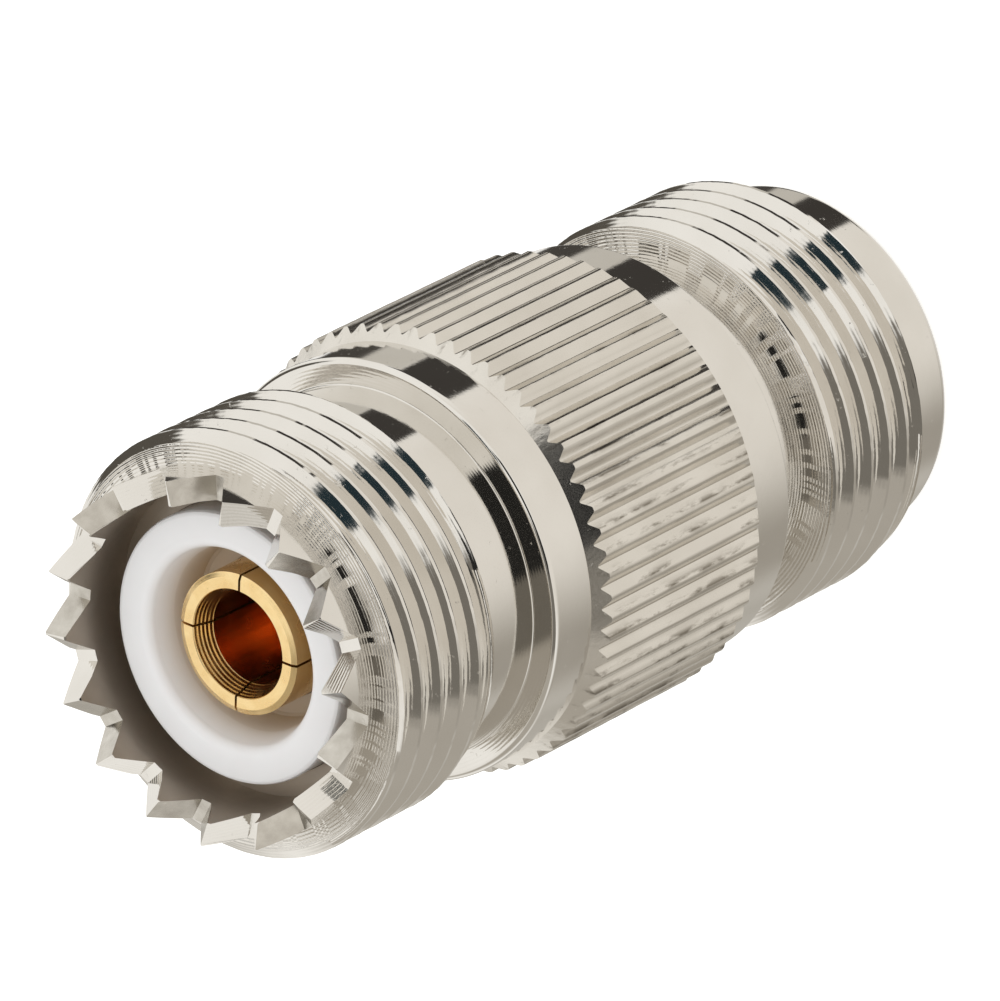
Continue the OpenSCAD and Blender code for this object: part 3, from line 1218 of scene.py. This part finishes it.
@dataclass
class Contact:
    """The gold-plated contact: a sprung socket at each end, slotted into fingers."""

    rings: RingPattern
    material: Material
    bore_painted_light: Material
    top_r: float = 2.68
    face: float = 32.32
    bore_r: float = 1.8
    mouth_r: float = 2.05
    taper: float = 0.8
    step_count: int = 5
    bore_depth: float = 9.5
    edge: float = 0.2
    edge_height: float = 0.08
    slot_count: int = 4
    slot_width: float = 0.1
    slot_length: float = 6.5
    slot_angle: float = math.radians(52)
    barrel: float = 17.6
    flange_r: float = 3.6
    flange: float = 15.6
    low_r: float = 1.52
    low_tip: float = 4.3
    low_bevel: float = 0.2
    low_bore_r: float = 0.83
    low_bore_depth: float = 4.7
    low_slot_width: float = 0.25
    low_slot_length: float = 3.6

    def make(self) -> Object:
        """Builds the contact.

        Returns:
            The contact's object.
        """
        low_floor = self.low_tip + self.low_bore_depth
        top_floor = self.face - self.bore_depth
        profile = [
            (0.02, low_floor),
            (self.low_bore_r, low_floor),
            (self.low_bore_r, self.low_tip + self.low_bevel),
            (self.low_bore_r + self.low_bevel, self.low_tip),
            (self.low_r - self.low_bevel, self.low_tip),
            (self.low_r, self.low_tip + self.low_bevel),
            (self.low_r, self.flange),
            (self.flange_r, self.flange),
            (self.flange_r, self.barrel),
            (self.top_r, self.barrel),
            (self.top_r, self.face - self.edge_height),
            (self.top_r - self.edge, self.face),
            (self.mouth_r + 0.03, self.face),
            (self.mouth_r, self.face - 0.03),
            *self.mouth_steps(),
            (self.bore_r, top_floor),
            (0.02, top_floor - 0.5),
        ]
        mesh = grid_mesh("contact", turn(profile, 128), closed=True, looped=False)
        self.close_ends(mesh)
        mesh.materials.append(self.material)
        mesh.materials.append(self.bore_painted_light)
        # Faces in the upper bore take the gold with painted light.
        for face in mesh.polygons:
            middle = face.center / MM
            if math.hypot(middle.x, middle.y) < self.bore_r + 0.001 and middle.z > top_floor - 1:
                face.material_index = 1
        piece = link_object("contact_dressed", mesh)
        high_end = (self.face - self.slot_length, self.face + 1)
        low_end = (self.low_tip - 1, self.low_tip + self.low_slot_length)
        cut_away(piece, self.slots("upper slots", *high_end, self.slot_width, self.top_r + 1))
        cut_away(piece, self.slots("lower slots", *low_end, self.low_slot_width, self.low_r + 1))
        shade(piece.data)
        return piece

    def mouth_steps(self) -> list[Ring]:
        """Gives the mouth's taper, turned in fine lands that are steeper at their lower edges."""
        found = []
        drop, reach = (self.mouth_r - self.bore_r) / self.step_count, (self.taper - 0.03) / self.step_count
        for i in range(self.step_count):
            r, z = self.mouth_r - drop * i, self.face - 0.03 - reach * i
            found += [(r - 0.6 * drop, z - 0.82 * reach), (r - drop, z - reach)]
        return found

    def close_ends(self, mesh: Mesh) -> None:
        """Closes the bores' floors with a face each."""
        work = bmesh.new()
        work.from_mesh(mesh)
        bmesh.ops.holes_fill(work, edges=[e for e in work.edges if e.is_boundary], sides=0)
        bmesh.ops.recalc_face_normals(work, faces=work.faces)
        work.to_mesh(mesh)
        work.free()

    def slots(self, name: str, low: float, high: float, width: float, reach: float) -> Mesh:
        """Builds the ring of blades that cuts one end's slots.

        Args:
            name: the mesh's name.
            low: height of the blades' lower edge.
            high: height of their upper edge.
            width: their thickness.
            reach: how far they go out from the axis.

        Returns:
            The blades.
        """
        blade = bpy.data.meshes.new(f"one of the {name}")
        corners = [(0.1, -width / 2), (reach, -width / 2), (reach, width / 2), (0.1, width / 2)]
        points = [(x * MM, y * MM, z * MM) for z in (low, high) for x, y in corners]
        sides = [(i, (i + 1) % 4, 4 + (i + 1) % 4, 4 + i) for i in range(4)]
        blade.from_pydata(points, [], [(3, 2, 1, 0), (4, 5, 6, 7), *sides])
        return self.rings.bake(
            blade,
            name,
            count=self.slot_count,
            first_angle=self.slot_angle,
            outer_radius=self.top_r * MM,
            burr_height=0.0,
            burr_density=1.0,
            seed=0.0,
            material=self.material,
        )


# Studio


@dataclass(frozen=True)
class Card:
    """A patch of the studio that only the metal's reflections show: a wall, a screen or a gap between lamps.

    Directions are in the camera's resting frame: right, up and towards the camera. Angles are degrees.
    """

    name: str
    middle: tuple[float, float, float]
    along: tuple[float, float, float]
    half_length: float
    half_width: float
    soft: float
    colour: str

    def axes(self) -> tuple[Vector, Vector, Vector]:
        """Gives the card's middle, its length's direction and its width's direction."""
        middle = Vector(self.middle).normalized()
        along = Vector(self.along)
        along = (along - along.dot(middle) * middle).normalized()
        return middle, along, middle.cross(along)


CARDS = (
    Card("right wall", (0.85, 0.35, 0.2), (0.0, 1.0, 0.0), 62, 62, 50, "#F4F0E9"),
    Card("table", (0.78, -0.42, -0.46), (0.84, 0.3, 0.4), 24, 30, 40, "#ADA89F"),
    Card("table, left", (-0.3, -0.9, 0.2), (1.0, 0.0, 0.0), 35, 30, 20, "#B8B3AA"),
    Card("table, behind", (0.05, -0.3, -0.95), (1.0, 0.0, 0.0), 30, 26, 20, "#BDB9B1"),
    Card("table, in front", (-0.1, -0.62, 0.78), (1.0, 0.0, 0.0), 22, 20, 6, "#7D7972"),
    Card("camera", (-0.02, -0.1, 1.0), (-0.42, 0.906, 0.0), 23.5, 14, 2.5, "#2A2A29"),
    Card("beside the camera", (-0.611, 0.033, 0.791), (-0.536, 0.723, -0.434), 7.3, 9, 2, "#26343A"),
    Card("wall above", (-0.03, 0.7, -0.71), (-0.376, -0.668, -0.64), 11, 16, 3, "#CFCBC3"),
    Card("screen above", (0.18, 0.88, -0.44), (-0.7, -0.144, -0.7), 11.5, 16, 1.5, "#423F3C"),
    Card("screen behind", (-0.1, 0.45, -0.89), (-0.06, -0.89, -0.455), 10.5, 12, 3, "#4A4743"),
    Card("left wall", (-0.93, 0.2, -0.3), (0.0, 0.0, 1.0), 17, 12, 4, "#5A564F"),
)


@dataclass
class Studio:
    """Camera, pale floor, lamps and surroundings."""

    camera_place: tuple[float, float, float] = (0.368, -301.784, 319.198)
    right: tuple[float, float, float] = (-0.44884, -0.63188, -0.63188)
    up: tuple[float, float, float] = (0.89361, -0.31738, -0.31738)
    lens: float = 424.77
    sensor: float = 36.0
    floor_size: float = 6.0
    daylight: float = 0.92

    def make(self) -> None:
        """Builds the whole studio."""
        self.make_camera()
        self.make_floor()
        self.make_world()
        self.make_lamps()
        bpy.context.scene.view_settings.view_transform = "Standard"

    def axes(self) -> Matrix:
        """Gives the camera's axes as columns: right, up, and backwards."""
        right, up = Vector(self.right).normalized(), Vector(self.up).normalized()
        back = right.cross(up).normalized()
        up = back.cross(right)
        return Matrix((right, up, back)).transposed()

    def make_camera(self) -> None:
        """Adds the camera at the photograph's angle."""
        data = bpy.data.cameras.new("camera")
        data.lens = self.lens
        data.sensor_width = self.sensor
        camera = bpy.data.objects.new("camera", data)
        bpy.context.scene.collection.objects.link(camera)
        camera.matrix_world = Matrix.Translation(Vector(self.camera_place) * MM) @ self.axes().to_4x4()
        bpy.context.scene.camera = camera

    def make_floor(self) -> None:
        """Adds the pale floor under the smooth end."""
        half = self.floor_size / 2
        mesh = bpy.data.meshes.new("floor")
        mesh.from_pydata([(-half, -half, 0), (half, -half, 0), (half, half, 0), (-half, half, 0)], [], [(0, 1, 2, 3)])
        floor = link_object("floor", mesh)
        floor.location.z = -0.02 * MM
        material = bpy.data.materials.new("pale floor")
        material.use_nodes = True
        tree = material.node_tree
        shader = tree.nodes["Principled BSDF"]
        shader.inputs["Base Color"].default_value = linear("#F6F6F4")
        shader.inputs["Roughness"].default_value = 0.9
        shader.inputs["Specular IOR Level"].default_value = 0.0
        rays = add_node(tree, "ShaderNodeLightPath")
        glow = add_node(tree, "ShaderNodeEmission", {"Color": (1.0, 1.0, 1.0, 1.0), "Strength": 0.5})
        both = add_node(tree, "ShaderNodeAddShader", {0: shader.outputs[0], 1: glow.outputs[0]})
        seen = add_node(
            tree, "ShaderNodeMixShader", {0: rays.outputs["Is Camera Ray"], 1: shader.outputs[0], 2: both.outputs[0]}
        )
        tree.links.new(seen.outputs[0], tree.nodes["Material Output"].inputs["Surface"])
        mesh.materials.append(material)
        floor.visible_glossy = False

    def make_world(self) -> None:
        """Adds the white surroundings, with the cards that the metal shows."""
        world = bpy.data.worlds.new("studio")
        bpy.context.scene.world = world
        world.use_nodes = True
        tree = world.node_tree
        tree.nodes.clear()
        place = add_node(tree, "ShaderNodeTexCoord").outputs["Generated"]
        seen: Any = (1.04, 1.03, 1.0, 1.0)
        for card in CARDS:
            share = self.card_share(tree, place, card)
            seen = add_node(
                tree, "ShaderNodeMix", {"Factor": share, 6: seen, 7: linear(card.colour)}, data_type="RGBA"
            ).outputs[2]
        mirrored = add_node(tree, "ShaderNodeBackground", {"Color": seen, "Strength": 1.0})
        plain = add_node(tree, "ShaderNodeBackground", {"Color": (1.0, 1.0, 1.0, 1.0), "Strength": self.daylight})
        white = add_node(tree, "ShaderNodeBackground", {"Color": (1.0, 1.0, 1.0, 1.0), "Strength": 1.0})
        rays = add_node(tree, "ShaderNodeLightPath")
        both = {0: rays.outputs["Is Glossy Ray"], 1: plain.outputs[0], 2: mirrored.outputs[0]}
        glossy = add_node(tree, "ShaderNodeMixShader", both)
        clear = add_node(
            tree,
            "ShaderNodeMath",
            {0: rays.outputs["Is Camera Ray"], 1: rays.outputs["Is Transmission Ray"]},
            operation="MAXIMUM",
        ).outputs[0]
        shown = add_node(tree, "ShaderNodeMixShader", {0: clear, 1: glossy.outputs[0], 2: white.outputs[0]})
        add_node(tree, "ShaderNodeOutputWorld", {"Surface": shown.outputs[0]})

    def card_share(self, tree: Tree, place: Socket, card: Card) -> Socket:
        """Adds the nodes that tell how much of a card is seen in a direction.

        Args:
            tree: the surroundings' tree.
            place: the direction.
            card: the card.

        Returns:
            1 on the card, 0 beside it, and between them on its soft edge.
        """
        middle, *sides = (self.axes() @ axis for axis in card.axes())
        facing = add_node(
            tree, "ShaderNodeVectorMath", {0: place, 1: tuple(middle)}, operation="DOT_PRODUCT"
        ).outputs["Value"]
        share = add_node(tree, "ShaderNodeMath", {0: facing, 1: 0.0}, operation="GREATER_THAN").outputs[0]
        for side, half in zip(sides, (card.half_length, card.half_width)):
            aside = add_node(
                tree, "ShaderNodeVectorMath", {0: place, 1: tuple(side)}, operation="DOT_PRODUCT"
            ).outputs["Value"]
            off = add_node(tree, "ShaderNodeMath", {0: aside}, operation="ABSOLUTE").outputs[0]
            inside = add_node(
                tree,
                "ShaderNodeMapRange",
                {
                    "Value": off,
                    "From Min": math.sin(math.radians(half - card.soft / 2)),
                    "From Max": math.sin(math.radians(min(half + card.soft / 2, 89.0))),
                    "To Min": 1.0,
                    "To Max": 0.0,
                },
                interpolation_type="SMOOTHSTEP",
            ).outputs["Result"]
            share = add_node(tree, "ShaderNodeMath", {0: share, 1: inside}, operation="MULTIPLY").outputs[0]
        return share

    def make_lamps(self) -> None:
        """Adds one large soft lamp from the camera's upper right."""
        data = bpy.data.lights.new("key", "AREA")
        data.shape = "DISK"
        data.size = 0.5
        data.energy = 2.0
        lamp = bpy.data.objects.new("key", data)
        bpy.context.scene.collection.objects.link(lamp)
        aim = self.axes() @ Vector((0.55, 0.6, 0.6)).normalized()
        lamp.location = aim * 0.9 + Vector((0, 0, 0.02))
        lamp.rotation_euler = aim.to_track_quat("Z", "Y").to_euler()
        lamp.visible_glossy = False
        lamp.visible_camera = False


def report(piece: Object, node: str) -> None:
    """Hands a finished piece to the frame, and says so.

    Args:
        piece: the piece's object.
        node: the CAD node that it stands for.
    """
    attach(piece, BODY)
    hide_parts(node)
    low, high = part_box(node)
    LOG.info("%s stands for %s, heights %.2f to %.2f mm", piece.name, node, low.z / MM, high.z / MM)


def main() -> None:
    """Builds the studio and every piece, in order."""
    logging.basicConfig(level=logging.INFO, format="%(name)s: %(message)s")
    rings, threads = RingPattern(), ThreadPattern()
    Studio().make()
    nickel = [finish.make() for finish in (NICKEL_TURNED, NICKEL_KNURLED, NICKEL_CUT, NICKEL_MOUTH_PAINTED_SHADE)]
    report(Shell(rings, threads, *nickel).make(), "shell")
    report(Contact(rings, GOLD_TURNED.make(), GOLD_BORE_PAINTED_LIGHT.make()).make(), "contact")
    upper, lower = Insulators(INSULATOR.make()).make()
    report(upper, "front_insulator")
    report(lower, "rear_insulator")


if __name__ == "__main__":
    main()
